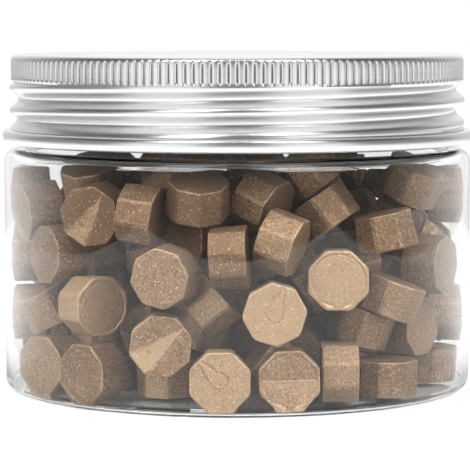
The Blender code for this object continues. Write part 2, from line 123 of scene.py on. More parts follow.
class Graph:
    """A node tree that is written as expressions."""

    def __init__(self, tree: bpy.types.NodeTree) -> None:
        """Start with an empty tree."""
        self.tree = tree
        tree.nodes.clear()

    def node(self, kind: str, settings: dict | None = None, sockets: dict | None = None) -> bpy.types.Node:
        """Add a node.

        Args:
            kind: The node's type.
            settings: Properties, which are set first.
            sockets: Values, or wires to link, by the name or number of the input.

        Returns:
            The new node.
        """
        node = self.tree.nodes.new(kind)
        for name, value in (settings or {}).items():
            setattr(node, name, value)
        for name, value in (sockets or {}).items():
            if isinstance(value, Wire):
                self.tree.links.new(value.socket, node.inputs[name])
            elif isinstance(value, bpy.types.Node):
                self.tree.links.new(value.outputs[0], node.inputs[name])
            else:
                node.inputs[name].default_value = value
        return node

    def wire(self, node: bpy.types.Node, output: str | int = 0) -> Wire:
        """Wrap one output of a node."""
        return Wire(self, node.outputs[output])

    def math(self, operation: str, *values: "Wire | float") -> Wire:
        """Add a Math node on up to three values."""
        return self.wire(self.node("ShaderNodeMath", {"operation": operation}, dict(enumerate(values))))

    def above(self, value: Wire, limit: float) -> Wire:
        """1 where a value is greater than a limit, else 0."""
        return self.math("GREATER_THAN", value, limit)

    def ramp(self, value: Wire, low: float, high: float) -> Wire:
        """Rise smoothly from 0 to 1 as a value goes from low to high."""
        settings = {"interpolation_type": "SMOOTHSTEP"}
        sockets = {"Value": value, "From Min": low, "From Max": high}
        return self.wire(self.node("ShaderNodeMapRange", settings, sockets))

    def xyz(self, vector: Wire) -> tuple[Wire, Wire, Wire]:
        """Split a vector into its parts."""
        node = self.node("ShaderNodeSeparateXYZ", sockets={0: vector})
        return self.wire(node, 0), self.wire(node, 1), self.wire(node, 2)

    def vector(self, x: Wire | float, y: Wire | float, z: Wire | float) -> Wire:
        """Join three values into a vector."""
        return self.wire(self.node("ShaderNodeCombineXYZ", sockets={0: x, 1: y, 2: z}))

    def grey(self, value: Wire) -> Wire:
        """Grey of a value from 0 for black to 1 for white."""
        return self.vector(value, value, value)


class Shading(Graph):
    """A material's nodes."""

    def __init__(self, name: str) -> None:
        """Make a material with an empty tree."""
        self.material = bpy.data.materials.new(name)
        self.material.use_nodes = True
        super().__init__(self.material.node_tree)

    def place(self) -> Wire:
        """Object coordinates, in metres."""
        return self.wire(self.node("ShaderNodeTexCoord"), "Object")

    def attribute(self, name: str, output: str = "Fac") -> Wire:
        """A value that is kept on the mesh."""
        return self.wire(self.node("ShaderNodeAttribute", {"attribute_name": name}), output)

    def noise(self, place: Wire, scale: float, detail: float = 2.0) -> Wire:
        """Soft noise from 0 to 1."""
        sockets = {"Vector": place, "Scale": scale, "Detail": detail}
        return self.wire(self.node("ShaderNodeTexNoise", sockets=sockets), 0)

    def cells(self, place: Wire, scale: float) -> bpy.types.Node:
        """Voronoi cells."""
        return self.node("ShaderNodeTexVoronoi", sockets={"Vector": place, "Scale": scale})

    def mix(self, share: Wire | float, first: Wire | tuple, second: Wire | tuple) -> Wire:
        """Mix two colours."""
        settings = {"data_type": "RGBA"}
        node = self.node("ShaderNodeMix", settings, {0: share, 6: first, 7: second})
        return self.wire(node, 2)

    def bump(self, height: Wire, distance: float, strength: float) -> Wire:
        """Normal of a surface raised by a height."""
        sockets = {"Height": height, "Distance": distance, "Strength": strength}
        return self.wire(self.node("ShaderNodeBump", sockets=sockets))

    def close(self, shader: bpy.types.Node) -> bpy.types.Material:
        """Link the last shader to the output and return the material."""
        self.node("ShaderNodeOutputMaterial", sockets={"Surface": shader})
        return self.material


class Rule(Graph):
    """A Geometry Nodes tree with named sizes, which ends in Realize Instances and Set Material."""

    def __init__(self, name: str, sizes: dict[str, float]) -> None:
        """Make the tree and its inputs.

        Args:
            name: Name of the tree.
            sizes: The named inputs with their values.
        """
        tree = bpy.data.node_groups.new(name, "GeometryNodeTree")
        tree.interface.new_socket("Geometry", in_out="INPUT", socket_type="NodeSocketGeometry")
        self.identifiers = {}
        for size in sizes:
            socket = tree.interface.new_socket(size, in_out="INPUT", socket_type="NodeSocketFloat")
            self.identifiers[size] = socket.identifier
        tree.interface.new_socket("Geometry", in_out="OUTPUT", socket_type="NodeSocketGeometry")
        super().__init__(tree)
        self.sizes = sizes
        self.entry = self.node("NodeGroupInput")

    def size(self, name: str) -> Wire:
        """One of the named inputs."""
        return self.wire(self.entry, name)

    def named(self, name: str, data_type: str = "FLOAT") -> Wire:
        """A value that is kept on the mesh."""
        settings = {"data_type": data_type}
        return self.wire(self.node("GeometryNodeInputNamedAttribute", settings, {"Name": name}))

    def close(self, geometry: bpy.types.Node, material: bpy.types.Material) -> None:
        """Realize what the tree made, give it its material and link the output."""
        real = self.node("GeometryNodeRealizeInstances", sockets={0: geometry})
        dressed = self.node("GeometryNodeSetMaterial", sockets={"Geometry": real, "Material": material})
        self.node("NodeGroupOutput", sockets={0: dressed})

    def apply(self, piece: bpy.types.Object) -> None:
        """Run the tree on a piece and keep the result as its plain mesh."""
        modifier = piece.modifiers.new(self.tree.name, "NODES")
        modifier.node_group = self.tree
        for name, value in self.sizes.items():
            modifier[self.identifiers[name]] = value
        graph = bpy.context.evaluated_depsgraph_get()
        evaluated = piece.evaluated_get(graph)
        plain = bpy.data.meshes.new_from_object(evaluated, preserve_all_data_layers=True, depsgraph=graph)
        piece.modifiers.clear()
        piece.data = plain


def arc(centre: Pair, radii: Pair, start: float, end: float, steps: int) -> Profile:
    """Points of an elliptical arc in the (radius, height) plane.

    Args:
        centre: Radius and height of the middle.
        radii: Half width and half height.
        start: First angle, in degrees.
        end: Last angle, in degrees.
        steps: Number of stretches.

    Returns:
        The points, the first and the last included.
    """
    angles = np.radians(np.linspace(start, end, steps + 1))
    return [(centre[0] + radii[0] * math.cos(a), centre[1] + radii[1] * math.sin(a)) for a in angles]


def line(start: Pair, end: Pair, steps: int) -> Profile:
    """Points of a straight stretch in the (radius, height) plane, without its ends."""
    shares = np.linspace(0, 1, steps + 1)[1:-1]
    return [(start[0] + (end[0] - start[0]) * s, start[1] + (end[1] - start[1]) * s) for s in shares]


def turned_mesh(name: str, profile: Profile, turns: int, reach: Reach | None = None) -> bpy.types.Mesh:
    """Turn a profile about Z.

    Args:
        name: Name of the mesh.
        profile: Radii and heights, from a first point on the axis to a last one on it.
        turns: Number of stretches around.
        reach: Optional function of radii, angles and heights that gives the radii to use.

    Returns:
        A closed smooth mesh, whose rows lie one after another between its two poles.
    """
    rows = np.array(profile[1:-1])
    angles = np.linspace(0, 2 * math.pi, turns, endpoint=False)
    radii, around = np.meshgrid(rows[:, 0], angles, indexing="ij")
    heights = np.repeat(rows[:, 1:], turns, axis=1)
    if reach:
        radii = reach(radii, around, heights)
    points = np.stack([radii * np.cos(around), radii * np.sin(around), heights], axis=-1).reshape(-1, 3)
    first = len(points)
    points = np.vstack([points, [[0, 0, profile[0][1]], [0, 0, profile[-1][1]]]])
    here = np.arange(turns)
    after = (here + 1) % turns
    faces = []
    for row in range(len(rows) - 1):
        above = row * turns
        below = above + turns
        faces += np.stack([above + here, below + here, below + after, above + after], axis=1).tolist()
    last = (len(rows) - 1) * turns
    faces += np.stack([np.full(turns, first), here, after], axis=1).tolist()
    faces += np.stack([np.full(turns, first + 1), last + after, last + here], axis=1).tolist()
    mesh = bpy.data.meshes.new(name)
    mesh.from_pydata(points.tolist(), [], faces)
    turn = np.sum(rows[:-1, 0] * rows[1:, 1] - rows[1:, 0] * rows[:-1, 1])
    if turn > 0:
        mesh.flip_normals()
    mesh.shade_smooth()
    return mesh


def keep_on_rows(mesh: bpy.types.Mesh, name: str, values: Sequence[float], turns: int) -> None:
    """Keep a number for each row of a turned mesh, and 0 at its poles, as a point attribute."""
    numbers = np.append(np.repeat(np.array(values, np.float32), turns), [0, 0])
    mesh.attributes.new(name, "FLOAT", "POINT").data.foreach_set("value", numbers)


def add_piece(
    name: str, mesh: bpy.types.Mesh, material: bpy.types.Material | None = None
) -> bpy.types.Object:
    """Put a mesh in the scene at the origin."""
    if material:
        mesh.materials.append(material)
    piece = bpy.data.objects.new(name, mesh)
    bpy.context.scene.collection.objects.link(piece)
    return piece


class EndMark(IntEnum):
    """Marks on an end face: a darker crease, a fan that is a painted highlight along a fold's ridge with
    painted shade beside it, or a seam line between a darker and a lighter half.
    """

    NONE = 0
    CREASE = 1
    FAN = 2
    SEAM = 3


@dataclass(frozen=True)
class ClearPlastic:
    """Clear moulded plastic, polished, with a faint waviness."""

    tint: Colour = (0.985, 0.99, 0.99, 1.0)
    shadow: Colour = (0.93, 0.94, 0.94, 1.0)
    ior: float = 1.57
    roughness: float = 0.0
    wave_scale: float = 55.0
    wave_height: float = 0.00012
    wave_strength: float = 0.25

    def material(self) -> bpy.types.Material:
        """Build the material: light for shadows goes straight through."""
        nodes = Shading("clear_plastic")
        wave = nodes.noise(nodes.place(), self.wave_scale, 1.0)
        sockets = {
            "Base Color": self.tint,
            "Roughness": self.roughness,
            "IOR": self.ior,
            "Transmission Weight": 1.0,
            "Normal": nodes.bump(wave, self.wave_height, self.wave_strength),
        }
        plastic = nodes.node("ShaderNodeBsdfPrincipled", sockets=sockets)
        clear = nodes.node("ShaderNodeBsdfTransparent", sockets={"Color": self.shadow})
        shadow = nodes.wire(nodes.node("ShaderNodeLightPath"), "Is Shadow Ray")
        return nodes.close(nodes.node("ShaderNodeMixShader", sockets={0: shadow, 1: plastic, 2: clear}))


@dataclass(frozen=True)
class SatinAluminium:
    """Rolled aluminium sheet with fine marks around it, and painted shade in the grooves of its grip."""

    light: Colour = (0.86, 0.865, 0.87, 1.0)
    dark: Colour = (0.74, 0.745, 0.755, 1.0)
    # Colour of the painted shade in the grooves of the grip
    groove_shade: Colour = (0.2, 0.2, 0.205, 1.0)
    groove_shade_range: Pair = (0.25, 1.0)
    groove_shade_share: float = 0.8
    roughness: float = 0.19
    roughness_spread: float = 0.14
    around_scale: float = 18.0
    across_scale: float = 2600.0
    broad_share: float = 0.12
    broad_range: Pair = (0.3, 0.7)
    mark_height: float = 0.00003
    mark_strength: float = 0.35

    def material(self) -> bpy.types.Material:
        """Build the material: marks run around the lid, along its skirt and its top alike."""
        nodes = Shading("satin_aluminium")
        x, y, z = nodes.xyz(nodes.place())
        radius = nodes.math("SQRT", x * x + y * y)
        across = (z + radius) * self.across_scale
        x = x * self.around_scale
        y = y * self.around_scale
        marks = nodes.noise(nodes.vector(x, y, across), 1.0, 3.0)
        broad = nodes.noise(nodes.vector(x, y, across * self.broad_share), 1.0)
        sheet = nodes.mix(nodes.ramp(broad, *self.broad_range), self.dark, self.light)
        # Painted shade: the colour darkens towards the bottom of each groove of the grip
        groove_shading = nodes.ramp(nodes.attribute("groove"), *self.groove_shade_range) * self.groove_shade_share
        sockets = {
            "Base Color": nodes.mix(groove_shading, sheet, self.groove_shade),
            "Metallic": 1.0,
            "Roughness": marks * self.roughness_spread + self.roughness,
            "Normal": nodes.bump(marks, self.mark_height, self.mark_strength),
        }
        return nodes.close(nodes.node("ShaderNodeBsdfPrincipled", sockets=sockets))


@dataclass(frozen=True)
class LinerFoam:
    """Pale closed foam with fine cells."""

    light: Colour = (0.86, 0.86, 0.84, 1.0)
    dark: Colour = (0.74, 0.74, 0.72, 1.0)
    roughness: float = 0.8
    blotch_scale: float = 300.0
    cell_scale: float = 2200.0
    cell_height: float = 0.00008
    cell_strength: float = 0.5

    def material(self) -> bpy.types.Material:
        """Build the material."""
        nodes = Shading("liner_foam")
        place = nodes.place()
        cell = nodes.wire(nodes.cells(place, self.cell_scale), "Distance")
        sockets = {
            "Base Color": nodes.mix(nodes.noise(place, self.blotch_scale), self.dark, self.light),
            "Roughness": self.roughness,
            "Normal": nodes.bump(cell, self.cell_height, self.cell_strength),
        }
        return nodes.close(nodes.node("ShaderNodeBsdfPrincipled", sockets=sockets))


@dataclass(frozen=True)
class BronzeWax:
    """Cast wax with bronze mica: fine grain, bright specks, painted highlights along its edges and folds,
    and marks on some end faces.
    """

    dark: Colour = (0.15, 0.085, 0.046, 1.0)
    light: Colour = (0.395, 0.267, 0.158, 1.0)
    speck: Colour = (0.85, 0.70, 0.50, 1.0)
    grain_scale: float = 3000.0
    grain_range: Pair = (0.3, 0.7)
    grain_share: float = 0.6
    blotch_scale: float = 380.0
    blotch_share: float = 0.6
    speck_scale: float = 2600.0
    speck_sizes: Pair = (0.1, 0.34)
    speck_range: Pair = (0.45, 0.95)
    speck_share: float = 0.75
    # Painted highlight along the bevelled edges, uneven in strength
    edge_highlight: float = 0.35
    edge_highlight_blotch: float = 0.5
    grain_height: float = 0.00007
    bump_strength: float = 0.6
    speck_bump: float = 0.5
    mark_bump: float = 1.5
    wobble_scale: float = 500.0
    wobble: float = 0.22
    end_height: float = 0.9
    mark_slack: float = 0.1
    mark_width: float = 0.05
    crease_dark: float = 0.45
    crease_middle: float = 0.05
    crease_radius: float = 0.3
    crease_narrowing: float = 0.28
    # Fan: painted highlight along a fold's ridge, with painted shade beside it
    fan_apex: float = 0.95
    fan_angles: Pair = (0.12, 0.3)
    fan_middle: float = 0.45
    fan_dark: float = 0.9
    seam_dark: float = 0.4
    metallic: float = 0.55
    roughness: float = 0.3
    roughness_spread: float = 0.2

    def marks(self, nodes: Shading, place: Wire) -> tuple[Wire, Wire]:
        """Marks on the end faces that have one; a fan is a painted highlight along a fold's ridge, with
        painted shade beside it.

        Args:
            nodes: The material's nodes.
            place: Object coordinates.

        Returns:
            How much darker the marks are than the wax, and how deep they lie.
        """
        u, v, w = nodes.xyz(nodes.attribute("spot", "Vector"))
        u = u + (nodes.noise(place, self.wobble_scale) - 0.5) * self.wobble
        v = v + (nodes.noise(place, self.wobble_scale * 1.3) - 0.5) * self.wobble
        mark = nodes.attribute("mark") * nodes.above(w, self.end_height)
        kinds = (EndMark.CREASE, EndMark.FAN, EndMark.SEAM)
        creased, fanned, seamed = (nodes.math("COMPARE", mark, kind, self.mark_slack) for kind in kinds)
        beyond = u - self.crease_middle
        inside = nodes.math("MINIMUM", beyond, 0.0)
        radius = self.crease_radius - self.crease_narrowing * nodes.math("MAXIMUM", beyond, 0.0)
        away = abs(nodes.math("SQRT", inside * inside + v * v) - radius)
        crease = (1 - nodes.ramp(away, 0.0, self.mark_width)) * creased
        angle = abs(nodes.math("ARCTAN2", v, self.fan_apex - u))
        # Painted highlight along the fold's ridge, and painted shade on both sides of it
        fan = (nodes.ramp(angle, *self.fan_angles) - self.fan_middle) * fanned
        seam = (1 - nodes.ramp(abs(v), 0.0, self.mark_width)) * seamed
        half = nodes.ramp(v, -self.mark_width, self.mark_width) * seamed
        darker = crease * self.crease_dark + fan * self.fan_dark + (half - seam) * self.seam_dark
        return darker, crease - seam

    def material(self) -> bpy.types.Material:
        """Build the material."""
        nodes = Shading("bronze_wax")
        place = nodes.place()
        grain = nodes.ramp(nodes.noise(place, self.grain_scale, 3.0), *self.grain_range)
        blotch = nodes.noise(place, self.blotch_scale, 3.0)
        cells = nodes.cells(place, self.speck_scale)
        shine, _, _ = nodes.xyz(nodes.wire(cells, "Color"))
        away = nodes.ramp(nodes.wire(cells, "Distance"), *self.speck_sizes)
        specks = (1 - away) * nodes.ramp(shine, *self.speck_range)
        darker, deeper = self.marks(nodes, place)
        # Painted highlight: the bevels of the edges are lighter
        edge = nodes.attribute("edge") * (self.edge_highlight + blotch * self.edge_highlight_blotch)
        uneven = (blotch - 0.5) * self.blotch_share + (grain - 0.5) * self.grain_share
        tone = nodes.attribute("tone") + uneven - darker + edge
        tint = nodes.mix(nodes.math("MINIMUM", nodes.math("MAXIMUM", tone, 0.0), 1.0), self.dark, self.light)
        height = grain + specks * self.speck_bump - deeper * self.mark_bump
        sockets = {
            "Base Color": nodes.mix(specks * self.speck_share, tint, self.speck),
            "Metallic": self.metallic,
            "Roughness": grain * self.roughness_spread + self.roughness,
            "Normal": nodes.bump(height, self.grain_height, self.bump_strength),
        }
        return nodes.close(nodes.node("ShaderNodeBsdfPrincipled", sockets=sockets))


@dataclass
class Jar:
    """Clear jar with a push-up base, rounded heel and shoulder, and a threaded neck."""

    radius: float = 36.0 * MM
    wall: float = 0.8 * MM
    floor: float = 0.6 * MM
    heel: float = 1.7 * MM
    inner_heel: float = 0.6 * MM
    push_up: float = 0.2 * MM
    push_up_radius: float = 26.0 * MM
    push_up_slope: float = 1.5 * MM
    shoulder: float = 36.85 * MM
    shoulder_round: float = 1.95 * MM
    neck_radius: float = 32.7 * MM
    neck_wall: float = 0.9 * MM
    neck_edge: float = 0.3 * MM
    ridge_height: float = 1.5 * MM
    ridge_width: float = 2.4 * MM
    ridge_turns: Pair = (-1.05, 0.45)
    ridge_fade: float = 0.08
    thread_lead: float = 3.5 * MM
    thread_middle: float = 44.4 * MM
    wall_rows: int = 6
    neck_rows: int = 61
    sharp_angle: float = 50.0
    turns: int = 256

    def profile(self) -> Profile:
        """Outline of the jar's wall, from the middle of its underside to the middle of its floor."""
        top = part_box("jar")[1][2]
        mouth = self.neck_radius - self.neck_wall
        inner = self.radius - self.wall
        wall_top = self.shoulder - self.shoulder_round
        inner_round = self.shoulder_round - self.wall
        round_radius = self.radius - self.shoulder_round
        edge = top - self.neck_edge
        heel_top = self.floor + self.inner_heel
        rows = [(0, self.push_up), (self.push_up_radius, self.push_up)]
        rows += [(self.push_up_radius + self.push_up_slope, 0)]
        rows += arc((self.radius - self.heel, self.heel), (self.heel,) * 2, -90, 0, 10)
        rows += line((self.radius, self.heel), (self.radius, wall_top), self.wall_rows)
        rows += arc((round_radius, wall_top), (self.shoulder_round,) * 2, 0, 90, 12)
        rows += [(self.neck_radius, z) for z in np.linspace(self.shoulder, edge, self.neck_rows)]
        rows += arc((self.neck_radius - self.neck_edge, edge), (self.neck_edge,) * 2, 0, 90, 4)[1:]
        rows += arc((mouth + self.neck_edge, edge), (self.neck_edge,) * 2, 90, 180, 4)
        rows += [(mouth, self.shoulder - self.wall)]
        rows += arc((round_radius, wall_top), (inner_round,) * 2, 90, 0, 10)
        rows += line((inner, wall_top), (inner, heel_top), self.wall_rows)
        rows += arc((inner - self.inner_heel, heel_top), (self.inner_heel,) * 2, 0, -90, 6)
        return rows + [(0, self.floor)]

    def reach(self, radii: np.ndarray, angles: np.ndarray, heights: np.ndarray) -> np.ndarray:
        """Raise the thread's ridge on the rows of the neck's outside.

        Args:
            radii: Radii of the plain profile.
            angles: Angles around the axis.
            heights: Heights over the base.

        Returns:
            The radii with the ridge.
        """
        on_neck = np.isclose(radii, self.neck_radius)
        rise = np.zeros_like(radii)
        first, last = self.ridge_turns
        for lap in range(math.floor(first) - 1, math.ceil(last) + 1):
            place = angles / (2 * math.pi) + lap
            fade = np.clip(np.minimum(place - first, last - place) / self.ridge_fade, 0, 1)
            offset = (heights - self.thread_middle - self.thread_lead * place) / self.ridge_width
            rise = np.maximum(rise, fade * np.cos(math.pi * np.clip(offset, -0.5, 0.5)) ** 2)
        return radii + np.where(on_neck, rise * self.ridge_height, 0)

    def build(self, finish: ClearPlastic) -> bpy.types.Object:
        """Build and dress the jar, in place of its plain solid."""
        mesh = turned_mesh("jar_shell", self.profile(), self.turns, self.reach)
        mesh.set_sharp_from_angle(angle=math.radians(self.sharp_angle))
        piece = add_piece("jar_shell", mesh, finish.material())
        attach(piece, "jar")
        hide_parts("jar")
        return piece


@dataclass
class Lid:
    """Rolled sheet lid: flat top, fluted grip band, rolled thread, flared skirt and curled edge."""

    sheet: float = 0.5 * MM
    edge_round: float = 1.05 * MM
    band_radius: float = 34.9 * MM
    band_height: float = 2.85 * MM
    band_step: float = 0.7 * MM
    groove_radius: float = 33.7 * MM
    thread_depth: float = 1.4 * MM
    thread_lead: float = 3.5 * MM
    thread_middle: float = 44.4 * MM
    flare_height: float = 1.65 * MM
    flare_width: float = 1.5 * MM
    curl_height: float = 2.1 * MM
    curl_width: float = 1.55 * MM
    curl_inner: float = 34.65 * MM
    curl_angles: Pair = (100.0, -180.0)
    crease: float = 0.12 * MM
    crease_reach: float = 0.35 * MM
    blend: float = 0.45 * MM
    flutes: int = 176
    steps_per_flute: int = 8
    flute_depth: float = 0.3 * MM
    flute_sharpness: float = 9.0
    flute_shares: Pair = (0.88, 0.12)
    edge_flutes: tuple[float, ...] = (0.0, 0.0, 0.0, 0.0, 0.1, 0.5, 1.0)
    flute_rows: tuple[Pair, ...] = ((0.3, 1.0), (0.6, 1.0), (0.84, 1.0), (0.92, 0.7), (1.0, 0.0))
    outer_rows: int = 26
    inner_rows: int = 7
    sharp_angle: float = 60.0

    def __post_init__(self) -> None:
        """Take the lid's place from the frame."""
        low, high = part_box("lid")
        self.top = high[2]
        self.base = low[2]
        self.band_top = self.top - self.edge_round
        self.band_base = self.band_top - self.band_height
        self.curl_top = self.base + self.curl_height
        self.flare_top = self.curl_top + self.flare_height
        self.turns = self.flutes * self.steps_per_flute

    def rows(self) -> list[tuple[float, float, float, float, float]]:
        """Rows of the sheet, from the middle of the top to the middle of its underside.

        Returns:
            For each row its radius and height, and the shares rolled, wall and fluted, which the rule reads.
        """
        edge = self.band_radius - self.edge_round
        inner_round = self.edge_round - self.sheet
        curl = (self.curl_inner + self.curl_width / 2, self.base + self.curl_height / 2)
        curl_radii = (self.curl_width / 2, self.curl_height / 2)
        rows = [(0, self.top, 0, 0, 0)]
        rounded = arc((edge, self.band_top), (self.edge_round,) * 2, 90, 0, len(self.edge_flutes) - 1)
        rows += [(r, z, 0, 0, fluted) for (r, z), fluted in zip(rounded, self.edge_flutes)]
        band = [(self.band_top - share * self.band_height, fluted) for share, fluted in self.flute_rows]
        rows += [(self.band_radius, z, 0, 0, fluted) for z, fluted in band]
        outer = np.linspace(self.band_base, self.curl_top + self.crease, self.outer_rows)[1:]
        rows += [(self.band_radius, z, 1, 0, 0) for z in outer]
        rows += [(self.curl_inner + self.crease_reach, self.curl_top, 0, 0, 0)]
        rows += [(r, z, 0, 0, 0) for r, z in arc(curl, curl_radii, *self.curl_angles, 12)]
        inner = np.linspace(self.curl_top, self.band_base, self.inner_rows)
        rows += [(self.band_radius, z, 1, self.sheet, 0) for z in inner]
        rows += [(r, z, 0, 0, 0) for r, z in arc((edge, self.band_top), (inner_round,) * 2, 0, 90, 4)]
        return rows + [(0, self.top - self.sheet, 0, 0, 0)]

    def rule(self, material: bpy.types.Material) -> Rule:
        """Geometry Nodes that roll the thread, the step and the flare into the skirt, and cut the flutes."""
        sizes = {
            "Band radius": self.band_radius,
            "Band base": self.band_base,
            "Band step": self.band_step,
            "Groove radius": self.groove_radius,
            "Thread depth": self.thread_depth,
            "Thread lead": self.thread_lead,
            "Thread middle": self.thread_middle,
            "Flare top": self.flare_top,
            "Flare height": self.flare_height,
            "Flare width": self.flare_width,
            "Blend": self.blend,
            "Flutes": float(self.flutes),
            "Flute depth": self.flute_depth,
        }
        rule = Rule("rolled_skirt", sizes)
        x, y, z = rule.xyz(rule.wire(rule.node("GeometryNodeInputPosition")))
        radius = rule.math("SQRT", x * x + y * y)
        angle = rule.math("ARCTAN2", y, x)
        groove = rule.size("Groove radius")
        laps = (z - rule.size("Thread middle")) / rule.size("Thread lead")
        wave = rule.math("COSINE", laps * (2 * math.pi) - angle)
        thread = groove + rule.size("Thread depth") * (1 + wave) * 0.5
        drop = (rule.size("Band base") - z) / rule.size("Band step")
        step = rule.size("Band radius") - (rule.size("Band radius") - groove) * drop
        flare = groove + rule.size("Flare width") * (rule.size("Flare top") - z) / rule.size("Flare height")
        skirt = rule.math("SMOOTH_MAX", thread, step, rule.size("Blend"))
        skirt = rule.math("SMOOTH_MAX", skirt, flare, rule.size("Blend"))
        rolled = rule.named("rolled") * (skirt - rule.named("wall") - radius)
        flute = rule.math("COSINE", angle * rule.size("Flutes")) * 0.5 + 0.5
        sharp, soft = self.flute_shares
        flute = rule.named("fluted") * (flute ** self.flute_sharpness * sharp + flute * soft)
        share = (radius + rolled - flute * rule.size("Flute depth")) / radius
        sockets = {"Geometry": rule.entry, "Position": rule.vector(x * share, y * share, z)}
        moved = rule.node("GeometryNodeSetPosition", sockets=sockets)
        # Keep how deep each point lies in its flute; the material paints shade in the grooves from it
        sockets = {"Geometry": moved, "Name": "groove", "Value": flute}
        rule.close(rule.node("GeometryNodeStoreNamedAttribute", {"data_type": "FLOAT"}, sockets), material)
        return rule

    def build(self, finish: SatinAluminium) -> bpy.types.Object:
        """Build and dress the lid, in place of its plain solid."""
        rows = self.rows()
        mesh = turned_mesh("lid_shell", [row[:2] for row in rows], self.turns)
        for name, column in (("rolled", 2), ("wall", 3), ("fluted", 4)):
            keep_on_rows(mesh, name, [row[column] for row in rows[1:-1]], self.turns)
        piece = add_piece("lid_shell", mesh)
        self.rule(finish.material()).apply(piece)
        piece.data.set_sharp_from_angle(angle=math.radians(self.sharp_angle))
        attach(piece, "lid")
        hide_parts("lid")
        return piece


@dataclass
class Liner:
    """Soft disc in the lid, with rounded edges."""

    edge: float = 0.2 * MM
    turns: int = 160

    def build(self, finish: LinerFoam) -> bpy.types.Object:
        """Build and dress the liner, in place of its plain solid."""
        low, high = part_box("liner")
        radius = high[0] - self.edge
        rows = [(0, low[2])]
        rows += arc((radius, low[2] + self.edge), (self.edge,) * 2, -90, 0, 4)
        rows += arc((radius, high[2] - self.edge), (self.edge,) * 2, 0, 90, 4)
        rows += [(0, high[2])]
        piece = add_piece("liner_disc", turned_mesh("liner_disc", rows, self.turns), finish.material())
        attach(piece, "liner")
        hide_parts("liner")
        return piece


class EndFace(IntEnum):
    """Forms of a bead's poured end, in the order of the bead forms' names."""

    FLAT = 0
    RIMMED = 1
    FOLDED = 2


@dataclass(frozen=True)
class FrontFace:
    """Look of an end face that shows at the front of the jar."""

    x: float
    z: float
    form: EndFace
    mark: EndMark = EndMark.NONE
    roll: float = 0.0
    tone: float = 0.7

    def distance(self, place: Vector) -> float:
        """Distance from a place in the front view."""
        return math.hypot(place.x - self.x, place.z - self.z)


@dataclass
class Bead:
    """Place of one bead, read from the frame: centre, axis, direction of one side, and its end face."""

    centre: Vector
    axis: Vector
    side: Vector
    form: EndFace = EndFace.FLAT
    mark: EndMark = EndMark.NONE
    tone: float = 0.5

    def rotation(self) -> Matrix:
        """Turn from a bead that stands on the origin to this one."""
        across = self.axis.cross(self.side)
        return Matrix((self.side, across, self.axis)).transposed()


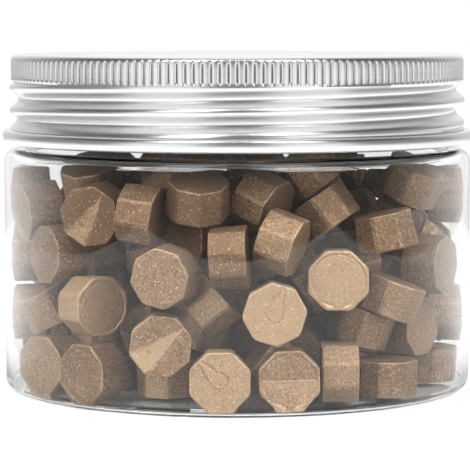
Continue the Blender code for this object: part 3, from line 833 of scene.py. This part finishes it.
@dataclass
class WaxBeads:
    """Heap of eight-sided cast beads."""

    across: float = 8.8 * MM
    length: float = 5.4 * MM
    draft: float = 0.16 * MM
    edge: float = 0.22 * MM
    corner: float = 0.28 * MM
    rim: float = 0.5 * MM
    rim_depth: float = 0.16 * MM
    fold: float = 0.3 * MM
    bevel: float = 0.3
    edge_rings: tuple[int, ...] = (1, 4)
    rim_rings: tuple[Spot, ...] = ((0.8, 0.0, 2.0), (1.0, 1.0, 4.0), (1.5, 0.6, 5.0))
    fold_ends: tuple[int, int] = (5, 13)
    fold_spots: tuple[Spot, ...] = ((0.62, 0.0, 0.2), (-0.45, 0.12, 1.0))
    shrink: float = 0.986
    seed: int = 11
    least_area: float = 1e-9
    same_facet: float = 0.9995
    lean_slack: float = 0.01
    vote_reach: float = 0.3 * MM
    votes_needed: int = 4
    flipped_share: float = 0.5
    form_shares: tuple[float, ...] = (0.3, 0.45, 0.25)
    mark_shares: tuple[float, ...] = (0.55, 0.15, 0.2, 0.1)
    tone_middle: float = 0.42
    tone_spread: float = 0.18
    tone_range: Pair = (0.05, 0.9)
    # Over these heights the random tones darken: painted shade where the lid shadows the heap
    lid_shade_heights: Pair = (18.0 * MM, 30.0 * MM)
    lid_shade_depth: float = 0.3
    front_pull: float = 0.2
    front_faces: tuple[FrontFace, ...] = (
        FrontFace(-2.5 * MM, 4.5 * MM, EndFace.FLAT, EndMark.CREASE, 140, 0.85),
        FrontFace(5.4 * MM, 14.8 * MM, EndFace.FLAT, EndMark.CREASE, 80, 1.0),
        FrontFace(-10.9 * MM, 10.0 * MM, EndFace.FOLDED, EndMark.FAN, 35, 0.8),
        FrontFace(14.3 * MM, 19.0 * MM, EndFace.RIMMED, EndMark.NONE, 0, 1.0),
        FrontFace(7.5 * MM, 4.6 * MM, EndFace.RIMMED, EndMark.SEAM, 0, 0.75),
        FrontFace(-21.1 * MM, 14.7 * MM, EndFace.RIMMED, EndMark.NONE, 0, 1.0),
        FrontFace(-20.8 * MM, 5.0 * MM, EndFace.RIMMED, EndMark.NONE, 0, 0.15),
        FrontFace(-20.5 * MM, 28.4 * MM, EndFace.FOLDED, EndMark.FAN, 60, 0.3),
        FrontFace(25.8 * MM, 10.7 * MM, EndFace.RIMMED, EndMark.NONE, 0, 0.45),
    )

    def corner_votes(self, node: bpy.types.Object) -> list[Vote]:
        """Read the untouched bead corners of a node.

        A corner is where an end face meets two sides that lean 45 degrees apart. It tells where its bead is.

        Args:
            node: CAD object of one or more beads that are stuck together.

        Returns:
            The centre, the axis and the direction of a side, for each corner.
        """
        mesh = node.data
        mesh.calc_loop_triangles()
        meeting: dict[tuple, list[Vector]] = {}
        for triangle in mesh.loop_triangles:
            points = [mesh.vertices[i].co for i in triangle.vertices]
            normal = (points[1] - points[0]).cross(points[2] - points[0])
            if normal.length < self.least_area:
                continue
            normal.normalize()
            for point in points:
                known = meeting.setdefault(tuple(round(c, 6) for c in point), [])
                if all(normal.dot(other) < self.same_facet for other in known):
                    known.append(normal)
        votes = []
        for place, normals in meeting.items():
            if len(normals) != 3:
                continue
            for axis, first, second in (normals, normals[1:] + normals[:1], normals[2:] + normals[:2]):
                lean = abs(first.dot(second) - math.sqrt(0.5))
                if max(lean, abs(axis.dot(first)), abs(axis.dot(second))) < self.lean_slack:
                    outward = (first + second).normalized()
                    reach = self.across / 2 / math.cos(math.pi / 8)
                    centre = Vector(place) - outward * reach - axis * (self.length / 2)
                    votes.append((centre, axis, first))
        return votes

    def read(self) -> list[Bead]:
        """Find every bead of the heap from the corners that the frame's nodes keep."""
        beads = []
        for name in sorted(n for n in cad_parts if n.startswith(BEAD_NODES)):
            groups: list[list[Vote]] = []
            for vote in self.corner_votes(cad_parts[name]):
                for group in groups:
                    if (group[0][0] - vote[0]).length < self.vote_reach:
                        group.append(vote)
                        break
                else:
                    groups.append([vote])
            for group in groups:
                if len(group) >= self.votes_needed:
                    centre = sum((vote[0] for vote in group), Vector()) / len(group)
                    beads.append(Bead(centre, group[0][1], group[0][2]))
        return beads

    def turn_side(self, bead: Bead, roll: float) -> None:
        """Pick the side of a bead nearest to an angle in the front view, in degrees from the right."""
        wanted = Vector((math.cos(math.radians(roll)), 0, math.sin(math.radians(roll))))
        sides = [Matrix.Rotation(k * math.pi / 4, 3, bead.axis) @ bead.side for k in range(8)]
        bead.side = max(sides, key=wanted.dot)

    def finish_faces(self, beads: list[Bead]) -> None:
        """Choose each bead's poured end, tone and end-face mark: listed at the front, at random elsewhere,
        where higher beads get a darker tone as painted shade.
        """
        draw = np.random.default_rng(self.seed)
        low, high = self.lid_shade_heights
        for bead in beads:
            if draw.uniform() < self.flipped_share:
                bead.axis = -bead.axis
            bead.form = EndFace(int(draw.choice(len(EndFace), p=self.form_shares)))
            # Painted shade: higher beads get a darker tone
            dimmed = self.lid_shade_depth * np.clip((bead.centre.z - low) / (high - low), 0, 1)
            tone = draw.normal(self.tone_middle, self.tone_spread) - dimmed
            bead.tone = float(np.clip(tone, *self.tone_range))
            bead.mark = EndMark(int(draw.choice(len(EndMark), p=self.mark_shares)))
            self.turn_side(bead, float(draw.uniform(0, 360)))
        front = [bead for bead in beads if bead.centre.y < 0]
        for face in self.front_faces:
            bead = min(front, key=lambda near: face.distance(near.centre) + near.centre.y * self.front_pull)
            if bead.axis.y > 0:
                bead.axis = -bead.axis
            bead.form = face.form
            bead.mark = face.mark
            bead.tone = face.tone
            self.turn_side(bead, face.roll)

    def ring(self, half: float, height: float, corner: float) -> list[Spot]:
        """Sixteen points of an octagon with cut corners, at a height, in order around the axis."""
        points = []
        side = half * math.tan(math.pi / 8) - corner
        for k in range(8):
            angle = k * math.pi / 4
            for along in (-side, side):
                x = half * math.cos(angle) - along * math.sin(angle)
                y = half * math.sin(angle) + along * math.cos(angle)
                points.append((x, y, height))
        return points

    def bead_mesh(self, form: EndFace) -> bpy.types.Mesh:
        """Mesh of one bead about the origin: rounded edges, a little draft, and the poured end upwards."""
        half = self.across / 2
        low = half - self.draft
        top = self.length / 2
        corner = self.corner
        bevel = self.edge * self.bevel
        rings = [
            self.ring(low - self.edge, -top, corner),
            self.ring(low - bevel, -top + bevel, corner),
            self.ring(low, -top + self.edge, corner),
            self.ring(half, top - self.edge, corner),
            self.ring(half - bevel, top - bevel, corner),
            self.ring(half - self.edge, top, corner),
        ]
        if form == EndFace.RIMMED:
            for inward, down, cut in self.rim_rings:
                rings.append(self.ring(half - self.rim * inward, top - self.rim_depth * down, corner * cut))
        points = [point for ring in rings for point in ring]
        faces = [list(reversed(range(RING)))]
        last = (len(rings) - 1) * RING
        for row in range(0, last, RING):
            for k in range(RING):
                after = (k + 1) % RING
                faces.append([row + k, row + after, row + RING + after, row + RING + k])
        if form == EndFace.FOLDED:
            high = len(points)
            deep = high + 1
            points += [(half * x, half * y, top - self.fold * down) for x, y, down in self.fold_spots]
            first, second = self.fold_ends
            for k in range(RING):
                spot = deep if first <= k < second else high
                faces.append([last + k, last + (k + 1) % RING, spot])
            faces += [[last + first, deep, high], [last + second, high, deep]]
        else:
            faces.append([last + k for k in range(RING)])
        mesh = bpy.data.meshes.new(f"bead_{form.value}_{form.name.lower()}")
        mesh.from_pydata(points, [], faces)
        spots = np.array(points, np.float32) / (half, half, top)
        mesh.attributes.new("spot", "FLOAT_VECTOR", "POINT").data.foreach_set("vector", spots.ravel())
        # Mark the middle rings of the bevels, where the material paints a highlight along the edges
        edges = [float(i // RING in self.edge_rings) for i in range(len(points))]
        mesh.attributes.new("edge", "FLOAT", "POINT").data.foreach_set("value", edges)
        return mesh

    def rule(self, forms: bpy.types.Collection, material: bpy.types.Material) -> Rule:
        """Geometry Nodes that set one bead form on each point, turned as the point says."""
        rule = Rule("bead_heap", {"Shrink": self.shrink})
        settings = {"transform_space": "RELATIVE"}
        sockets = {"Collection": forms, "Separate Children": True, "Reset Children": True}
        source = rule.node("GeometryNodeCollectionInfo", settings, sockets)
        sockets = {
            "Points": rule.wire(rule.entry, "Geometry"),
            "Instance": source,
            "Pick Instance": True,
            "Instance Index": rule.named("form", "INT"),
            "Rotation": rule.named("turned", "QUATERNION"),
            "Scale": rule.vector(rule.size("Shrink"), rule.size("Shrink"), rule.size("Shrink")),
        }
        rule.close(rule.node("GeometryNodeInstanceOnPoints", sockets=sockets), material)
        return rule

    def build(self, finish: BronzeWax) -> bpy.types.Object:
        """Build and dress the heap, in place of the plain bead solids."""
        beads = self.read()
        self.finish_faces(beads)
        forms = bpy.data.collections.new("bead_forms")
        shapes = [bpy.data.objects.new(mesh.name, mesh) for mesh in map(self.bead_mesh, EndFace)]
        for shape in shapes:
            forms.objects.link(shape)
        mesh = bpy.data.meshes.new("bead_heap")
        mesh.from_pydata([bead.centre for bead in beads], [], [])
        turned = np.array([bead.rotation().to_quaternion() for bead in beads], np.float32)
        mesh.attributes.new("turned", "QUATERNION", "POINT").data.foreach_set("value", turned.ravel())
        for name, kind in (("form", "INT"), ("tone", "FLOAT"), ("mark", "FLOAT")):
            values = [getattr(bead, name) for bead in beads]
            mesh.attributes.new(name, kind, "POINT").data.foreach_set("value", values)
        piece = add_piece("bead_heap", mesh)
        self.rule(forms, finish.material()).apply(piece)
        for shape in shapes:
            bpy.data.objects.remove(shape)
        bpy.data.collections.remove(forms)
        LOG.info("beads found: %d", len(beads))
        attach(piece, "jar")
        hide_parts(*(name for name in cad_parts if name.startswith(BEAD_NODES)))
        return piece


@dataclass(frozen=True)
class SoftLight:
    """Soft light, of which one hangs on each side of the jar: angles in degrees from the front and up."""

    name: str
    azimuth: float
    elevation: float
    width: float
    height: float
    distance: float
    power: float
    mirrored: bool

    def hang(self, side: int) -> None:
        """Hang the light on one side: -1 for the left, 1 for the right."""
        turn = math.radians(self.azimuth) * side
        lift = math.radians(self.elevation)
        way = Vector((math.sin(turn) * math.cos(lift), -math.cos(turn) * math.cos(lift), math.sin(lift)))
        name = f"{self.name}_{'left' if side < 0 else 'right'}"
        lamp = bpy.data.lights.new(name, "AREA")
        lamp.shape = "RECTANGLE"
        lamp.size = self.width
        lamp.size_y = self.height
        lamp.energy = self.power
        light = bpy.data.objects.new(name, lamp)
        light.location = (cad_box[0] + cad_box[1]) / 2 + way * self.distance
        light.rotation_euler = way.to_track_quat("Z", "Y").to_euler()
        light.visible_glossy = self.mirrored
        bpy.context.scene.collection.objects.link(light)


@dataclass
class Studio:
    """Pale floor, soft light and the camera."""

    floor_half: float = 0.26
    floor_drop: float = 0.1 * MM
    floor_glow: float = 0.75
    dimmed_glow: float = 0.12
    floor_white: Colour = (0.95, 0.95, 0.95, 1.0)
    # Colour of the floor under the jar: painted shadow
    shade: Colour = (0.6, 0.6, 0.61, 1.0)
    shade_radii: Pair = (34.0 * MM, 37.0 * MM)
    lights: tuple[SoftLight, ...] = (
        SoftLight("soft", 42.0, 40.0, 0.6, 0.7, 0.85, 8.6, False),
        SoftLight("strip", 36.0, 60.0, 0.26, 0.4, 0.8, 1.0, True),
        SoftLight("fill", 145.0, 35.0, 0.7, 0.7, 0.9, 3.5, False),
    )
    room_dim: float = 0.28
    room_grey: float = 0.3
    room_white: float = 1.1
    back_white: float = 0.7
    back_rise: Pair = (0.02, 0.1)
    behind_azimuths: Pair = (152.0, 172.0)
    horizon: float = -0.09
    horizon_widths: Pair = (0.06, 0.2)
    horizon_rise: float = 0.42
    sheen_dim: float = 0.82
    sheen_azimuths: Pair = (75.0, 125.0)
    ceiling_rise: Pair = (0.35, 0.75)
    ceiling_dark: float = 0.7
    panel_azimuths: tuple[Pair, Pair] = ((12.0, 22.0), (52.0, 64.0))
    back_azimuths: Pair = (122.0, 142.0)
    camera_place: Spot = (-0.33 * MM, -382.9 * MM, 57.0 * MM)
    camera_pitch: float = 5.05
    camera_lens: float = 189.1
    camera_sensor: float = 36.0
    camera_nearest: float = 0.01

    def sheen(self, nodes: Graph, path: bpy.types.Node) -> Wire:
        """Pick the rays that the plastic alone turned back, off its face or off the inside of its wall.

        Args:
            nodes: The floor's or the world's nodes.
            path: Its Light Path node.

        Returns:
            1 for such rays, else 0.
        """
        face = nodes.wire(path, "Is Singular Ray") * nodes.wire(path, "Is Reflection Ray")
        turned = nodes.above(nodes.wire(path, "Glossy Depth"), ONE_BOUNCE)
        shallow = 1 - nodes.above(nodes.wire(path, "Transmission Depth"), ONE_WALL)
        return nodes.math("MAXIMUM", face, turned * shallow * nodes.wire(path, "Is Transmission Ray"))

    def azimuth(self, nodes: Graph, x: Wire, y: Wire) -> Wire:
        """Angle from the front to either side, in degrees."""
        return abs(nodes.math("ARCTAN2", x, y * -1.0)) * (180 / math.pi)

    def sheen_loss(self, nodes: Graph, azimuth: Wire) -> Wire:
        """Share of its white that the sheen loses: most towards the front, and none behind."""
        return (1 - nodes.ramp(azimuth, *self.sheen_azimuths)) * self.sheen_dim

    def floor(self) -> None:
        """Lay a white floor that glows a little and still takes a shadow, with painted shadow in its colour
        under the jar.
        """
        half = self.floor_half
        points = [(x * half, y * half, -self.floor_drop) for x, y in ((-1, -1), (1, -1), (1, 1), (-1, 1))]
        mesh = bpy.data.meshes.new("floor")
        mesh.from_pydata(points, [], [(0, 1, 2, 3)])
        nodes = Shading("floor_white")
        path = nodes.node("ShaderNodeLightPath")
        x, y, _ = nodes.xyz(nodes.place())
        outside = nodes.ramp(nodes.math("SQRT", x * x + y * y), *self.shade_radii)
        bounced = nodes.above(nodes.wire(path, "Diffuse Depth"), ONE_BOUNCE)
        mirrored = self.sheen(nodes, path) * self.sheen_loss(nodes, self.azimuth(nodes, x, y))
        dimmed = nodes.math("MAXIMUM", bounced * (1.0 - self.dimmed_glow), mirrored)
        # Painted shadow: the floor's colour is darker under the jar
        colour = nodes.mix(outside, self.shade, self.floor_white)
        matt = nodes.node("ShaderNodeBsdfDiffuse", sockets={"Color": colour})
        glow = nodes.node("ShaderNodeEmission", sockets={"Color": nodes.grey(1 - dimmed)})
        share = outside * self.floor_glow
        material = nodes.close(nodes.node("ShaderNodeMixShader", sockets={0: share, 1: matt, 2: glow}))
        add_piece("floor", mesh, material)

    def room(self, nodes: Graph, path: bpy.types.Node, way: tuple[Wire, Wire, Wire]) -> Wire:
        """Level of the room that the pieces mirror: grey, with two white panels and a paler back.

        Args:
            nodes: The world's nodes.
            path: Its Light Path node.
            way: Parts of the ray's direction.

        Returns:
            The level, lower for the plastic's sheen and for light that a matt surface has scattered.
        """
        x, y, z = way
        azimuth = self.azimuth(nodes, x, y)
        rise, fall = self.panel_azimuths
        panel = nodes.ramp(azimuth, *rise) - nodes.ramp(azimuth, *fall)
        back = nodes.ramp(azimuth, *self.back_azimuths)
        low = 1 - nodes.ramp(abs(z - self.horizon), *self.horizon_widths)
        grey = low * self.horizon_rise + self.room_grey
        behind = nodes.ramp(z, *self.back_rise) * nodes.ramp(azimuth, *self.behind_azimuths)
        pale = behind * (self.room_white - self.back_white) + self.back_white
        level = panel * (self.room_white - grey) + back * (pale - grey) + grey
        level = level * (1 - nodes.ramp(z, *self.ceiling_rise) * self.ceiling_dark * (1 - back))
        level = level + self.sheen(nodes, path) * (1 - self.sheen_loss(nodes, azimuth) - level)
        bounced = nodes.above(nodes.wire(path, "Diffuse Depth"), ONE_BOUNCE)
        return level - bounced * (level - self.room_dim)

    def world(self) -> None:
        """Set a white backdrop for the eye, also through the plastic, and a room for all other rays."""
        world = bpy.data.worlds.new("studio")
        world.use_nodes = True
        bpy.context.scene.world = world
        nodes = Graph(world.node_tree)
        path = nodes.node("ShaderNodeLightPath")
        way = nodes.xyz(nodes.wire(nodes.node("ShaderNodeTexCoord"), "Generated"))
        straight = 1 - nodes.above(nodes.wire(path, "Glossy Depth"), ONE_BOUNCE)
        through = nodes.wire(path, "Is Transmission Ray") * straight
        bounced = nodes.above(nodes.wire(path, "Diffuse Depth"), ONE_BOUNCE)
        seen = nodes.math("MAXIMUM", nodes.wire(path, "Is Camera Ray"), through) * (1 - bounced)
        level = nodes.grey(self.room(nodes, path, way))
        room = nodes.node("ShaderNodeBackground", sockets={"Color": level})
        white = nodes.node("ShaderNodeBackground", sockets={"Color": (1.0, 1.0, 1.0, 1.0)})
        mixed = nodes.node("ShaderNodeMixShader", sockets={0: seen, 1: room, 2: white})
        nodes.node("ShaderNodeOutputWorld", sockets={"Surface": mixed})

    def camera(self) -> None:
        """Set the camera at the photograph's angle."""
        eye = bpy.data.cameras.new("camera")
        eye.sensor_fit = "HORIZONTAL"
        eye.sensor_width = self.camera_sensor
        eye.lens = self.camera_lens
        eye.clip_start = self.camera_nearest
        camera = bpy.data.objects.new("camera", eye)
        camera.location = self.camera_place
        camera.rotation_euler = (math.radians(90 - self.camera_pitch), 0, 0)
        bpy.context.scene.collection.objects.link(camera)
        bpy.context.scene.camera = camera

    def build(self) -> None:
        """Set up the whole studio."""
        bpy.context.scene.view_settings.view_transform = "Standard"
        self.floor()
        self.world()
        for light in self.lights:
            light.hang(-1)
            light.hang(1)
        self.camera()


def main() -> None:
    """Build the pieces in order and report their face counts."""
    logging.basicConfig(level=logging.INFO, format="%(message)s")
    Studio().build()
    pieces = [
        WaxBeads().build(BronzeWax()),
        Jar().build(ClearPlastic()),
        Liner().build(LinerFoam()),
        Lid().build(SatinAluminium()),
    ]
    for piece in pieces:
        LOG.info("%s: %d faces", piece.name, len(piece.data.polygons))


if __name__ == "__main__":
    main()
